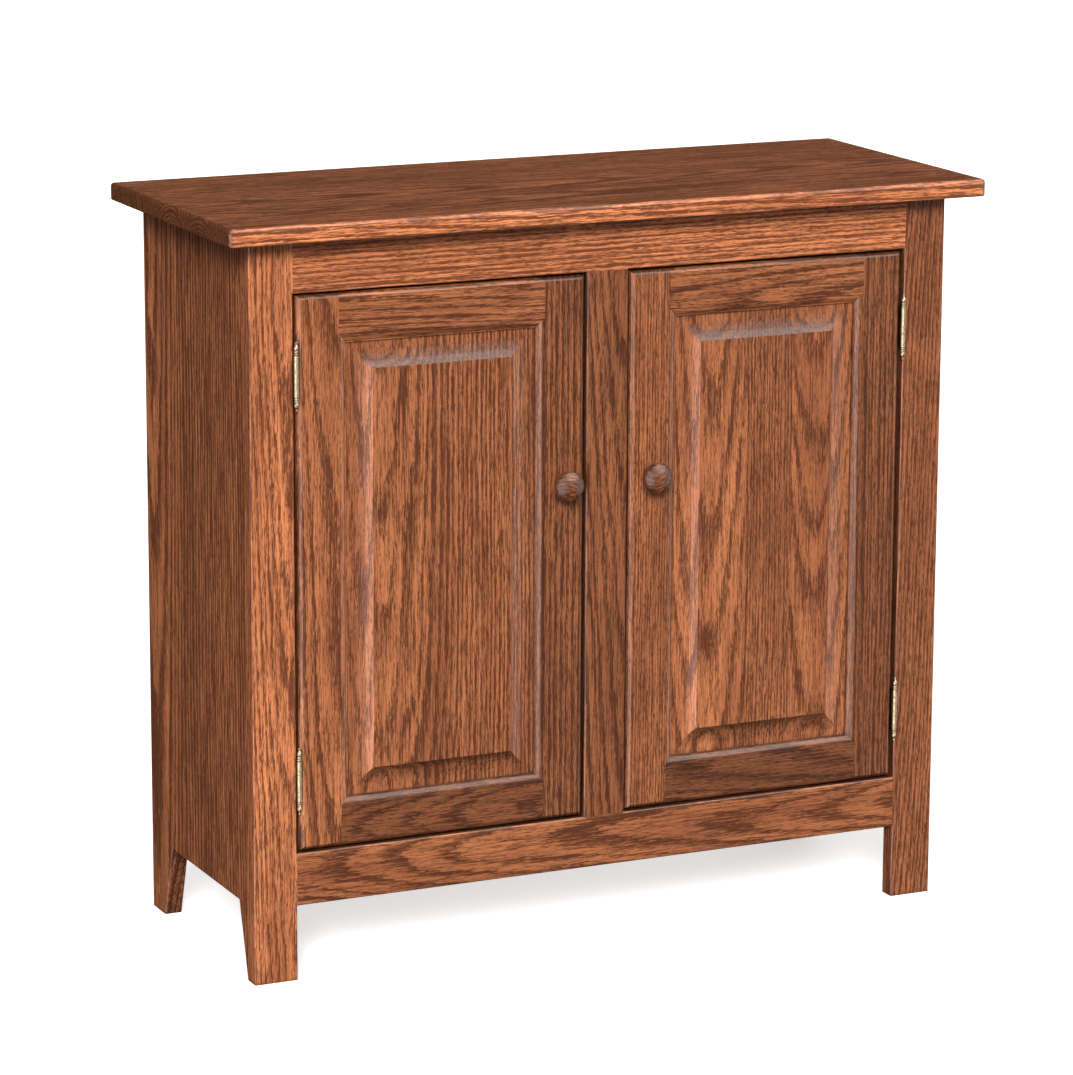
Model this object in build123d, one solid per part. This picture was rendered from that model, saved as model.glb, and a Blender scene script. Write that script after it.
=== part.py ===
from build123d import *
import os

# Two-door raised-panel oak cabinet. Millimetres, +Z up, -Y is the front.
# The origin is on the floor, under the middle of the top board.

# ---------------------------------------------------------------- overall
TOTAL_HEIGHT = 813.0
BODY_WIDTH = 815.0
BODY_DEPTH = 310.0
BOARD = 19.0

# top board
TOP_THICKNESS = 19.0
TOP_OVERHANG_SIDE = 32.5
TOP_OVERHANG_FRONT = 32.0
TOP_OVERHANG_REAR = 13.0
TOP_ROUND_UPPER = 4.0
TOP_ROUND_LOWER = 2.0
TOP_ROUND_CORNER = 4.0

# face frame
STILE_WIDTH = 48.5
MULLION_WIDTH = 48.0
TOP_RAIL_HEIGHT = 57.0
BOTTOM_RAIL_HEIGHT = 57.0
FOOT_HEIGHT = 82.0
FRAME_EASE = 1.2
FRAME_TENON_LENGTH = 20.0
FRAME_TENON_THICKNESS = 6.5
FRAME_TENON_SHOULDER = 8.0

# side panels and feet
FRONT_FOOT_TOP = 45.0
FRONT_FOOT_FLOOR = 22.0
REAR_FOOT_TOP = 63.0
REAR_FOOT_FLOOR = 38.0
SIDE_EASE = 1.2
REBATE_WIDTH = 9.5
DADO_DEPTH = 6.0

# inside
BACK_THICKNESS = 6.0
BACK_LIP = 10.0
BACK_RAIL_HEIGHT = 57.0
CLEAT_WIDTH = 19.0
CLEAT_END_GAP = 12.0
SHELF_THICKNESS = 19.0
SHELF_SIDE_GAP = 2.0
SHELF_FRONT_SETBACK = 12.0
SHELF_REAR_GAP = 4.0
SHELF_EASE = 2.0

# shelf pins and the rows of holes that they go in
PIN_HOLE_RADIUS = 2.5
PIN_HOLE_DEPTH = 9.0
PIN_HOLE_PITCH = 32.0
PIN_ROW_INSET = 37.0
PIN_ROW_END_MARGIN = 150.0
PIN_PLATE_THICKNESS = 1.6
PIN_PLATE_REACH = 11.0
PIN_PLATE_WIDTH = 10.0
PIN_PLATE_HEIGHT = 16.0

# doors
DOOR_THICKNESS = 19.0
DOOR_GAP_HINGE = 4.0
DOOR_GAP_LATCH = 2.5
DOOR_GAP_TOP = 2.5
DOOR_GAP_BOTTOM = 2.5
DOOR_STILE_FLAT = 47.0
DOOR_RAIL_FLAT = 44.0
DOOR_EDGE_WIDTH = 4.5
DOOR_EDGE_DEPTH = 5.0
DOOR_EDGE_RADIUS = 7.5

# moulded inner edge of the door frame, and the groove behind it
STICKING_WIDTH = 9.0
STICKING_STEP = 1.0
STICKING_BEAD = 7.0
STICKING_DROP = 3.8
GROOVE_FRONT = 7.2
GROOVE_WIDTH = 6.4
GROOVE_DEPTH = 9.5

# raised panel
PANEL_FIELD_RECESS = 0.7
PANEL_TONGUE = 5.9
PANEL_RAISE_WIDTH = 29.0
PANEL_SHOULDER = 0.5
PANEL_COVE_WIDTH = 26.0
PANEL_COVE_SHALLOW_WIDTH = 18.5
PANEL_COVE_SHALLOW_RISE = 2.2
PANEL_SIDE_CLEARANCE = 1.5
PANEL_TOP_CLEARANCE = 1.0

# knobs
KNOB_RADIUS = 16.5
KNOB_LENGTH = 26.0
KNOB_WIDEST = 17.0
KNOB_FOOT_RADIUS = 9.5
KNOB_FOOT_LENGTH = 2.5
KNOB_NECK_RADIUS = 7.0
KNOB_NECK_PLACE = 7.0
KNOB_DROP = 222.5
KNOB_SCREW_RADIUS = 2.0
KNOB_SCREW_GRIP = 14.0
KNOB_SCREW_HEAD_RADIUS = 4.2
KNOB_SCREW_HEAD_LENGTH = 2.6
KNOB_SCREW_SLOT = 1.2

# hinges
HINGE_BARREL_LENGTH = 44.0
HINGE_BARREL_RADIUS = 2.6
HINGE_AXIS_PROUD = 2.85
HINGE_PIN_RADIUS = 1.2
HINGE_RUNNING_CLEARANCE = 0.05
HINGE_KNUCKLE_GAP = 0.3
HINGE_LEAF_THICKNESS = 1.4
HINGE_LEAF_DEPTH = 15.0
HINGE_NOTCH_CLEARANCE = 0.6
HINGE_INSET_TOP = 83.5
HINGE_INSET_BOTTOM = 77.5
HINGE_SCREW_SPREAD = 13.5
HINGE_SCREW_PLACE = 9.0

# finials: rings, an egg-shaped bulb and a ball at each end of a hinge
FINIAL_RING_RADIUS = 2.4
FINIAL_RING_HEIGHT = 2.1
FINIAL_RING_GROOVE = 0.5
FINIAL_NECK_RADIUS = 1.6
FINIAL_BULB_RADIUS = 2.4
FINIAL_BULB_HEIGHT = 6.6
FINIAL_TIP_NECK_RADIUS = 0.7
FINIAL_BALL_RADIUS = 1.15

# flat-head wood screws
SCREW_RADIUS = 1.4
SCREW_HEAD_RADIUS = 2.7
SCREW_LENGTH = 13.0
SCREW_SLOT_WIDTH = 0.7
SCREW_SLOT_DEPTH = 0.6
CLEAT_SCREW_LENGTH = 30.0
CLEAT_SCREW_RADIUS = 2.0
CLEAT_SCREW_HEAD_RADIUS = 3.8
CLEAT_SCREW_COUNT = 3

# nails in the back panel
NAIL_RADIUS = 0.8
NAIL_HEAD_RADIUS = 2.0
NAIL_HEAD_THICKNESS = 0.6
NAIL_LENGTH = 20.0
NAIL_PITCH = 150.0
NAIL_EDGE = 4.0

# magnetic catches, under a block behind the top rail
CATCH_BLOCK_WIDTH = 190.0
CATCH_BLOCK_DEPTH = 45.0
CATCH_OFFSET = 60.0
CATCH_LENGTH = 46.0
CATCH_DEPTH = 20.0
CATCH_HEIGHT = 14.0
CATCH_WALL = 2.0
CATCH_GAP = 0.6
CATCH_FLANGE_REACH = 9.0
CATCH_FLANGE_THICKNESS = 3.0
CATCH_MAGNET_PROUD = 0.3
STRIKE_LENGTH = 38.0
STRIKE_HEIGHT = 12.0
STRIKE_THICKNESS = 1.0
STRIKE_SCREW_RADIUS = 1.2
STRIKE_SCREW_HEAD_RADIUS = 2.3
STRIKE_SCREW_LENGTH = 10.0

# reach of a cutting tool past the wood that it cuts
CUT_PAST = 2.0

# ---------------------------------------------------------------- derived
TOP_WIDTH = BODY_WIDTH + 2 * TOP_OVERHANG_SIDE
TOP_DEPTH = BODY_DEPTH + TOP_OVERHANG_FRONT + TOP_OVERHANG_REAR
BODY_TOP = TOTAL_HEIGHT - TOP_THICKNESS
FRONT = -TOP_DEPTH / 2 + TOP_OVERHANG_FRONT
FRAME_BACK = FRONT + BOARD
REAR = FRONT + BODY_DEPTH
BACK_FRONT = REAR - BACK_THICKNESS
HALF_WIDTH = BODY_WIDTH / 2
INNER_HALF = HALF_WIDTH - BOARD
OPEN_OUTER = HALF_WIDTH - STILE_WIDTH
OPEN_INNER = MULLION_WIDTH / 2
OPEN_BOTTOM = FOOT_HEIGHT + BOTTOM_RAIL_HEIGHT
OPEN_TOP = BODY_TOP - TOP_RAIL_HEIGHT
FLOOR_BOTTOM = OPEN_BOTTOM - BOARD

DOOR_HINGE_X = -OPEN_OUTER + DOOR_GAP_HINGE
DOOR_LATCH_X = -OPEN_INNER - DOOR_GAP_LATCH
DOOR_BOTTOM = OPEN_BOTTOM + DOOR_GAP_BOTTOM
DOOR_TOP = OPEN_TOP - DOOR_GAP_TOP
DOOR_MID_X = (DOOR_HINGE_X + DOOR_LATCH_X) / 2
DOOR_MID_Z = (DOOR_BOTTOM + DOOR_TOP) / 2
DOOR_BACK = FRONT + DOOR_THICKNESS
DOOR_STILE_WIDTH = DOOR_STILE_FLAT + STICKING_WIDTH
DOOR_RAIL_WIDTH = DOOR_RAIL_FLAT + STICKING_WIDTH
GROOVE_BACK = GROOVE_FRONT + GROOVE_WIDTH

HINGE_X = -OPEN_OUTER + DOOR_GAP_HINGE / 2
HINGE_Y = FRONT - HINGE_AXIS_PROUD
HINGE_HEIGHTS = {
    "upper": DOOR_TOP - HINGE_INSET_TOP,
    "lower": DOOR_BOTTOM + HINGE_INSET_BOTTOM,
}
KNUCKLE = HINGE_BARREL_LENGTH / 3

KNOB_X = DOOR_LATCH_X - DOOR_STILE_FLAT / 2 - DOOR_EDGE_WIDTH / 2
KNOB_Z = DOOR_TOP - KNOB_DROP

CATCH_TOP = OPEN_TOP
CATCH_FRONT = DOOR_BACK + CATCH_GAP + STRIKE_THICKNESS
CATCH_MID_Z = CATCH_TOP - CATCH_HEIGHT / 2
CATCH_X = -OPEN_INNER - CATCH_OFFSET

SHELF_HALF = INNER_HALF - SHELF_SIDE_GAP
SHELF_FRONT = FRAME_BACK + SHELF_FRONT_SETBACK
SHELF_BACK = BACK_FRONT - SHELF_REAR_GAP
PIN_ROWS_Y = (SHELF_FRONT + PIN_ROW_INSET, SHELF_BACK - PIN_ROW_INSET)
PIN_ROW_FIRST = OPEN_BOTTOM + PIN_ROW_END_MARGIN
PIN_ROW_LENGTH = BODY_TOP - PIN_ROW_END_MARGIN - PIN_ROW_FIRST
PIN_HOLE_COUNT = int(PIN_ROW_LENGTH / PIN_HOLE_PITCH) + 1
PIN_HEIGHTS = [PIN_ROW_FIRST + i * PIN_HOLE_PITCH for i in range(PIN_HOLE_COUNT)]
PIN_Z = PIN_HEIGHTS[PIN_HOLE_COUNT // 2]
SHELF_BOTTOM = PIN_Z + PIN_HOLE_RADIUS + PIN_PLATE_THICKNESS

parts = {}


# ---------------------------------------------------------------- helpers
def block(x0, x1, y0, y1, z0, z1):
    """A box between two corners."""
    return Pos((x0 + x1) / 2, (y0 + y1) / 2, (z0 + z1) / 2) * Box(x1 - x0, y1 - y0, z1 - z0)


def rod(start, direction, radius, length):
    """A round bar that starts at a point and runs along a direction."""
    return Plane(origin=start, z_dir=direction) * extrude(Circle(radius), amount=length)


def both_sides(name, shape):
    """Keep a left-hand piece and its mirror image on the right."""
    parts[name + "_left"] = shape
    parts[name + "_right"] = mirror(shape, about=Plane.YZ)


def one_solid(shape):
    """The single solid that a cut leaves."""
    return shape.solids()[0] if len(shape.solids()) == 1 else Compound(shape.solids())


def group(shapes):
    """Separate solids kept as one node."""
    return Compound([solid for shape in shapes for solid in shape.solids()])


def cut_all(shape, cutters):
    for cutter in cutters:
        shape = shape - cutter
    return one_solid(shape)


def eased_opening(x0, x1, z0, z1):
    """The tapered cut that breaks the front edges round an opening in the face frame."""
    front = Plane(origin=(0, FRONT, 0), x_dir=(1, 0, 0), z_dir=(0, -1, 0))
    inner = front.offset(-FRAME_EASE)
    middle = ((x0 + x1) / 2, (z0 + z1) / 2)
    wide = front * Pos(*middle) * Rectangle(x1 - x0 + 2 * FRAME_EASE, z1 - z0 + 2 * FRAME_EASE)
    narrow = inner * Pos(*middle) * Rectangle(x1 - x0, z1 - z0)
    return loft([wide.face(), narrow.face()])


def wood_screw(start, direction, radius, head_radius, length):
    """A flat-head screw: its head's face is at start, and it runs along direction."""
    head_depth = head_radius - radius
    outline = Polyline(
        (0, 0), (head_radius, 0), (radius, head_depth),
        (radius, length - radius), (0, length), close=True)
    return Plane(origin=start, z_dir=direction) * revolve(Plane.XZ * make_face(outline), Axis.Z)


def screw_slot(start, direction, head_radius):
    """The driver slot in a screw's head."""
    slot = Box(2 * head_radius, SCREW_SLOT_WIDTH, 2 * SCREW_SLOT_DEPTH)
    return Plane(origin=start, z_dir=direction) * slot


def spread(low, high, count):
    """Evenly spaced places with half a space at each end."""
    step = (high - low) / count
    return [low + step * (i + 0.5) for i in range(count)]


# ---------------------------------------------------------------- top board
def make_top_board():
    top = block(-TOP_WIDTH / 2, TOP_WIDTH / 2, -TOP_DEPTH / 2, TOP_DEPTH / 2, BODY_TOP, TOTAL_HEIGHT)
    top = fillet(top.edges().filter_by(Axis.Z), TOP_ROUND_CORNER)
    top = fillet(top.edges().group_by(Axis.Z)[-1], TOP_ROUND_UPPER)
    return fillet(top.edges().group_by(Axis.Z)[0], TOP_ROUND_LOWER)


# ---------------------------------------------------------------- face frame
def frame_tenon(x0, x1, z0, z1):
    """A tenon in the middle of the frame's thickness."""
    middle = FRONT + BOARD / 2
    half = FRAME_TENON_THICKNESS / 2
    return block(x0, x1, middle - half, middle + half, z0, z1)


def rail_tenons(z0, z1):
    """Both end tenons of a rail, left one first."""
    low = z0 + FRAME_TENON_SHOULDER
    high = z1 - FRAME_TENON_SHOULDER
    left = frame_tenon(-OPEN_OUTER - FRAME_TENON_LENGTH, -OPEN_OUTER, low, high)
    right = frame_tenon(OPEN_OUTER, OPEN_OUTER + FRAME_TENON_LENGTH, low, high)
    return [left, right]


def mullion_tenons():
    """The tenons at the mullion's ends, bottom one first."""
    half = OPEN_INNER - FRAME_TENON_SHOULDER
    low = frame_tenon(-half, half, OPEN_BOTTOM - FRAME_TENON_LENGTH, OPEN_BOTTOM)
    high = frame_tenon(-half, half, OPEN_TOP, OPEN_TOP + FRAME_TENON_LENGTH)
    return [low, high]


def make_face_frame():
    door_edges = eased_opening(-OPEN_OUTER, -OPEN_INNER, OPEN_BOTTOM, OPEN_TOP)
    toe_edges = eased_opening(-OPEN_OUTER, OPEN_OUTER, -FOOT_HEIGHT, FOOT_HEIGHT)
    easings = [door_edges, mirror(door_edges, about=Plane.YZ), toe_edges]
    bottom_tenons = rail_tenons(FOOT_HEIGHT, OPEN_BOTTOM)
    top_tenons = rail_tenons(OPEN_TOP, BODY_TOP)
    upright_tenons = mullion_tenons()

    stile = block(-HALF_WIDTH, -OPEN_OUTER, FRONT, FRAME_BACK, 0, BODY_TOP)
    outer_edge = stile.edges().filter_by(Axis.Z).group_by(Axis.X)[0].group_by(Axis.Y)[0]
    stile = fillet(outer_edge, FRAME_EASE)
    stile = cut_all(stile, easings + [bottom_tenons[0], top_tenons[0]])
    both_sides("frame_stile", stile)

    bottom = block(-OPEN_OUTER, OPEN_OUTER, FRONT, FRAME_BACK, FOOT_HEIGHT, OPEN_BOTTOM)
    bottom = bottom + bottom_tenons[0] + bottom_tenons[1]
    parts["frame_bottom_rail"] = cut_all(bottom, easings + [upright_tenons[0]])

    top = block(-OPEN_OUTER, OPEN_OUTER, FRONT, FRAME_BACK, OPEN_TOP, BODY_TOP)
    top = top + top_tenons[0] + top_tenons[1]
    parts["frame_top_rail"] = cut_all(top, easings + [upright_tenons[1]])

    mullion = block(-OPEN_INNER, OPEN_INNER, FRONT, FRAME_BACK, OPEN_BOTTOM, OPEN_TOP)
    mullion = cut_all(mullion, easings)
    parts["frame_mullion"] = one_solid(mullion + upright_tenons[0] + upright_tenons[1])


# ---------------------------------------------------------------- side panels
def foot_outline():
    """The arch between the front and rear feet, as (y, z) points from the front."""
    return [
        (FRONT + FRONT_FOOT_FLOOR, 0),
        (FRONT + FRONT_FOOT_TOP, FOOT_HEIGHT),
        (REAR - REAR_FOOT_TOP, FOOT_HEIGHT),
        (REAR - REAR_FOOT_FLOOR, 0),
    ]


def foot_arch(x, outward):
    """The arch's face on the plane at x, grown outward in its own plane."""
    front_slope = (FRONT_FOOT_TOP - FRONT_FOOT_FLOOR) / FOOT_HEIGHT
    rear_slope = (REAR_FOOT_TOP - REAR_FOOT_FLOOR) / FOOT_HEIGHT
    points = foot_outline()
    low = -CUT_PAST
    high = FOOT_HEIGHT + outward
    front = points[0][0] - outward
    rear = points[3][0] + outward
    outline = [
        (front + front_slope * low, low), (front + front_slope * high, high),
        (rear - rear_slope * high, high), (rear - rear_slope * low, low)]
    plane = Plane(origin=(x, 0, 0), x_dir=(0, 1, 0), z_dir=(1, 0, 0))
    return (plane * make_face(Polyline(*outline, close=True))).face()


def make_side_panels():
    side = block(-HALF_WIDTH, -INNER_HALF, FRAME_BACK, REAR, 0, BODY_TOP)
    arch = loft([foot_arch(-HALF_WIDTH - CUT_PAST, 0), foot_arch(-INNER_HALF + CUT_PAST, 0)])
    arch_edge = loft([foot_arch(-HALF_WIDTH, SIDE_EASE), foot_arch(-HALF_WIDTH + SIDE_EASE, 0)])
    rear_edge = side.edges().filter_by(Axis.Z).group_by(Axis.X)[0].group_by(Axis.Y)[-1]
    side = fillet(rear_edge, SIDE_EASE)
    dado = block(-INNER_HALF - DADO_DEPTH, 0, FRAME_BACK - CUT_PAST, BACK_FRONT, FLOOR_BOTTOM, OPEN_BOTTOM)
    rebate_bottom = FLOOR_BOTTOM - BACK_LIP
    rebate = block(-INNER_HALF - REBATE_WIDTH, 0, BACK_FRONT, REAR + CUT_PAST, rebate_bottom, TOTAL_HEIGHT)
    side = cut_all(side, [arch, arch_edge, dado, rebate])
    for y in PIN_ROWS_Y:
        for z in PIN_HEIGHTS:
            side = side - rod((-INNER_HALF - PIN_HOLE_DEPTH, y, z), (1, 0, 0), PIN_HOLE_RADIUS, BOARD)
    return one_solid(side)


# ---------------------------------------------------------------- inside
def make_carcass_inside():
    floor_half = INNER_HALF + DADO_DEPTH
    parts["bottom_panel"] = block(-floor_half, floor_half, FRAME_BACK, BACK_FRONT, FLOOR_BOTTOM, OPEN_BOTTOM)
    back_half = INNER_HALF + REBATE_WIDTH
    parts["back_panel"] = block(-back_half, back_half, BACK_FRONT, REAR, FLOOR_BOTTOM - BACK_LIP, BODY_TOP)
    rail_bottom = BODY_TOP - BACK_RAIL_HEIGHT
    parts["back_top_rail"] = block(
        -INNER_HALF, INNER_HALF, BACK_FRONT - BOARD, BACK_FRONT, rail_bottom, BODY_TOP)


def make_cleats():
    """Cleats that hold the top board, with screws into it and into the side panels."""
    front = FRAME_BACK + CLEAT_END_GAP
    back = BACK_FRONT - BOARD - CLEAT_END_GAP
    x0 = -INNER_HALF
    x1 = -INNER_HALF + CLEAT_WIDTH
    z0 = BODY_TOP - BOARD
    cleat = block(x0, x1, front, back, z0, BODY_TOP)
    top_screws = []
    side_screws = []
    sizes = (CLEAT_SCREW_RADIUS, CLEAT_SCREW_HEAD_RADIUS, CLEAT_SCREW_LENGTH)
    places = spread(front, back, 2 * CLEAT_SCREW_COUNT)
    for i, y in enumerate(places):
        upward = i % 2 == 0
        start = ((x0 + x1) / 2, y, z0) if upward else (x1, y, (z0 + BODY_TOP) / 2)
        direction = (0, 0, 1) if upward else (-1, 0, 0)
        screw = wood_screw(start, direction, *sizes)
        cleat = cleat - screw
        kept = top_screws if upward else side_screws
        kept.append((screw, screw - screw_slot(start, direction, CLEAT_SCREW_HEAD_RADIUS)))
    both_sides("top_cleat", one_solid(cleat))
    return top_screws, side_screws


def make_nails():
    """Nails through the back panel into the side panels' rebates and the back top rail."""
    side_x = -INNER_HALF - REBATE_WIDTH + NAIL_EDGE
    low = FLOOR_BOTTOM
    high = BODY_TOP - BACK_RAIL_HEIGHT
    heights = spread(low, high, int((high - low) / NAIL_PITCH) + 1)
    widths = spread(-INNER_HALF, INNER_HALF, int(2 * INNER_HALF / NAIL_PITCH) + 1)
    points = [(sign * side_x, z) for sign in (1, -1) for z in heights]
    points += [(x, BODY_TOP - BACK_RAIL_HEIGHT / 2) for x in widths]
    points += [(x, FLOOR_BOTTOM + BOARD / 2) for x in widths]
    nails = []
    for x, z in points:
        head = rod((x, REAR, z), (0, 1, 0), NAIL_HEAD_RADIUS, NAIL_HEAD_THICKNESS)
        nails.append(head + rod((x, REAR, z), (0, -1, 0), NAIL_RADIUS, NAIL_LENGTH))
    return nails


# ---------------------------------------------------------------- shelf
def make_shelf():
    shelf_top = SHELF_BOTTOM + SHELF_THICKNESS
    shelf = block(-SHELF_HALF, SHELF_HALF, SHELF_FRONT, SHELF_BACK, SHELF_BOTTOM, shelf_top)
    front_edges = shelf.edges().filter_by(Axis.X).group_by(Axis.Y)[0]
    return fillet(front_edges, SHELF_EASE)


def make_shelf_pins():
    """Spoon pins: a round peg in the side panel, and a plate under the shelf."""
    pins = []
    for y in PIN_ROWS_Y:
        peg = rod((-INNER_HALF - PIN_HOLE_DEPTH, y, PIN_Z), (1, 0, 0), PIN_HOLE_RADIUS, PIN_HOLE_DEPTH)
        y0 = y - PIN_PLATE_WIDTH / 2
        y1 = y + PIN_PLATE_WIDTH / 2
        x0 = -INNER_HALF
        wall = block(x0, x0 + PIN_PLATE_THICKNESS, y0, y1, SHELF_BOTTOM - PIN_PLATE_HEIGHT, SHELF_BOTTOM)
        ledge = block(x0, x0 + PIN_PLATE_REACH, y0, y1, SHELF_BOTTOM - PIN_PLATE_THICKNESS, SHELF_BOTTOM)
        pin = peg + wall + ledge
        pins += [pin, mirror(pin, about=Plane.YZ)]
    return group(pins)


# ---------------------------------------------------------------- magnetic catches
def make_catches():
    """A block behind the top rail, with a catch under it for each door."""
    block_back = FRAME_BACK + CATCH_BLOCK_DEPTH
    half = CATCH_BLOCK_WIDTH / 2
    catch_block = block(-half, half, FRAME_BACK, block_back, CATCH_TOP, CATCH_TOP + BOARD)
    x0 = CATCH_X - CATCH_LENGTH / 2
    x1 = CATCH_X + CATCH_LENGTH / 2
    y1 = CATCH_FRONT + CATCH_DEPTH
    case = block(x0, x1, CATCH_FRONT, y1, CATCH_TOP - CATCH_HEIGHT, CATCH_TOP)
    case = fillet(case.edges().filter_by(Axis.Z), CATCH_WALL / 2)
    flange_low = CATCH_TOP - CATCH_FLANGE_THICKNESS
    flange = block(x0, x1, y1 - CUT_PAST, y1 + CATCH_FLANGE_REACH, flange_low, CATCH_TOP)
    magnet = block(
        x0 + CATCH_WALL, x1 - CATCH_WALL, CATCH_FRONT - CATCH_MAGNET_PROUD, y1 - CATCH_WALL,
        CATCH_TOP - CATCH_HEIGHT + CATCH_WALL, CATCH_TOP - CATCH_WALL)
    housing = case + flange - magnet
    screws = []
    for x in (x0 + CATCH_LENGTH / 4, x1 - CATCH_LENGTH / 4):
        start = (x, y1 + CATCH_FLANGE_REACH / 2, flange_low)
        screw = wood_screw(start, (0, 0, 1), SCREW_RADIUS, SCREW_HEAD_RADIUS, SCREW_LENGTH)
        housing = housing - screw
        catch_block = catch_block - screw - mirror(screw, about=Plane.YZ)
        slotted = screw - screw_slot(start, (0, 0, 1), SCREW_HEAD_RADIUS)
        screws += [slotted, mirror(slotted, about=Plane.YZ)]
    both_sides("catch_housing", one_solid(housing))
    both_sides("catch_magnet", magnet)
    parts["catch_block"] = one_solid(catch_block)
    parts["catch_screws"] = group(screws)


# ---------------------------------------------------------------- hinges
def hinge_finial():
    """Two rings, a bulb and a ball, standing on the end of the barrel."""
    ring = FINIAL_RING_HEIGHT
    groove = FINIAL_RING_GROOVE
    base = 2 * (ring + groove)
    bulb_top = base + FINIAL_BULB_HEIGHT
    ball_mid = bulb_top + groove + FINIAL_BALL_RADIUS
    rings = extrude(Circle(FINIAL_NECK_RADIUS), amount=base)
    for start in (groove, ring + 2 * groove):
        disc = Pos(0, 0, start) * extrude(Circle(FINIAL_RING_RADIUS), amount=ring)
        rings = rings + fillet(disc.edges(), ring / 4)
    bulb_outline = Spline(
        (FINIAL_NECK_RADIUS, base),
        (FINIAL_BULB_RADIUS, base + FINIAL_BULB_HEIGHT * 0.3),
        (FINIAL_BULB_RADIUS * 0.85, base + FINIAL_BULB_HEIGHT * 0.65),
        (FINIAL_TIP_NECK_RADIUS, bulb_top))
    sides = Polyline((FINIAL_TIP_NECK_RADIUS, bulb_top), (0, bulb_top), (0, base), (FINIAL_NECK_RADIUS, base))
    bulb = revolve(Plane.XZ * make_face([*bulb_outline.edges(), *sides.edges()]), Axis.Z)
    tip = Pos(0, 0, bulb_top) * extrude(Circle(FINIAL_TIP_NECK_RADIUS), amount=groove + FINIAL_BALL_RADIUS)
    return rings + bulb + tip + Pos(0, 0, ball_mid) * Sphere(FINIAL_BALL_RADIUS)


def hinge_leaf(x0, x1, middle, keep_ends):
    """A leaf from x0 to x1 in the door's gap, with the end knuckles or the middle one."""
    low = middle - HINGE_BARREL_LENGTH / 2
    high = middle + HINGE_BARREL_LENGTH / 2
    split_low = low + KNUCKLE
    split_high = high - KNUCKLE
    gap = HINGE_KNUCKLE_GAP / 2
    if keep_ends:
        knuckles = [(low, split_low - gap), (split_high + gap, high)]
        notches = [(split_low - gap, split_high + gap)]
    else:
        knuckles = [(split_low + gap, split_high - gap)]
        notches = [(low - CUT_PAST, split_low + gap), (split_high - gap, high + CUT_PAST)]
    leaf = block(x0, x1, HINGE_Y, FRONT + HINGE_LEAF_DEPTH, low, high)
    notch_depth = HINGE_Y + HINGE_BARREL_RADIUS + HINGE_NOTCH_CLEARANCE
    for z0, z1 in notches:
        leaf = leaf - block(x0 - CUT_PAST, x1 + CUT_PAST, HINGE_Y - CUT_PAST, notch_depth, z0, z1)
    for z0, z1 in knuckles:
        leaf = leaf + rod((HINGE_X, HINGE_Y, z0), (0, 0, 1), HINGE_BARREL_RADIUS, z1 - z0)
    return leaf


def make_hinge(place, middle):
    """One hinge of the left door. Returns the cuts and screws for the frame and the door."""
    low = middle - HINGE_BARREL_LENGTH / 2
    high = middle + HINGE_BARREL_LENGTH / 2
    frame_x = -OPEN_OUTER + HINGE_LEAF_THICKNESS
    door_x = DOOR_HINGE_X - HINGE_LEAF_THICKNESS
    frame_leaf = hinge_leaf(-OPEN_OUTER, frame_x, middle, True)
    door_leaf = hinge_leaf(door_x, DOOR_HINGE_X, middle, False)
    foot = Pos(HINGE_X, HINGE_Y, low) * Rot(180, 0, 0) * hinge_finial()
    bore = rod((HINGE_X, HINGE_Y, low), (0, 0, 1), HINGE_PIN_RADIUS, HINGE_BARREL_LENGTH)
    running_radius = HINGE_PIN_RADIUS + HINGE_RUNNING_CLEARANCE
    running_bore = rod((HINGE_X, HINGE_Y, low), (0, 0, 1), running_radius, HINGE_BARREL_LENGTH)
    frame_leaf = frame_leaf - bore + foot
    door_leaf = door_leaf - running_bore
    pin = bore + Pos(HINGE_X, HINGE_Y, high) * hinge_finial()
    sizes = (SCREW_RADIUS, SCREW_HEAD_RADIUS, SCREW_LENGTH)
    frame_screws = []
    door_screws = []
    for z in (middle - HINGE_SCREW_SPREAD, middle + HINGE_SCREW_SPREAD):
        y = FRONT + HINGE_SCREW_PLACE
        for x, direction, kept in ((frame_x, (-1, 0, 0), frame_screws), (door_x, (1, 0, 0), door_screws)):
            start = (x, y, z)
            screw = wood_screw(start, direction, *sizes)
            kept.append((screw, screw - screw_slot(start, direction, SCREW_HEAD_RADIUS)))
    frame_leaf = cut_all(frame_leaf, [plain for plain, slotted in frame_screws])
    door_leaf = cut_all(door_leaf, [plain for plain, slotted in door_screws])
    both_sides(f"hinge_{place}_frame_leaf", frame_leaf)
    both_sides(f"hinge_{place}_door_leaf", door_leaf)
    both_sides(f"hinge_{place}_pin", one_solid(pin))
    return frame_screws, door_screws


# ---------------------------------------------------------------- door joinery
# Each cutter is drawn as (distance in from the door's edge, depth behind its face),
# and then laid along that side of the door.
def door_sides():
    """Each side's plane: local x runs into the door, and local y runs to the back."""
    return {
        "hinge": Plane(origin=(DOOR_HINGE_X, FRONT, DOOR_MID_Z), x_dir=(1, 0, 0), z_dir=(0, 0, 1)),
        "latch": Plane(origin=(DOOR_LATCH_X, FRONT, DOOR_MID_Z), x_dir=(-1, 0, 0), z_dir=(0, 0, -1)),
        "bottom": Plane(origin=(DOOR_MID_X, FRONT, DOOR_BOTTOM), x_dir=(0, 0, 1), z_dir=(-1, 0, 0)),
        "top": Plane(origin=(DOOR_MID_X, FRONT, DOOR_TOP), x_dir=(0, 0, -1), z_dir=(1, 0, 0)),
    }


def flat_width(side):
    return DOOR_STILE_FLAT if side in ("hinge", "latch") else DOOR_RAIL_FLAT


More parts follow.
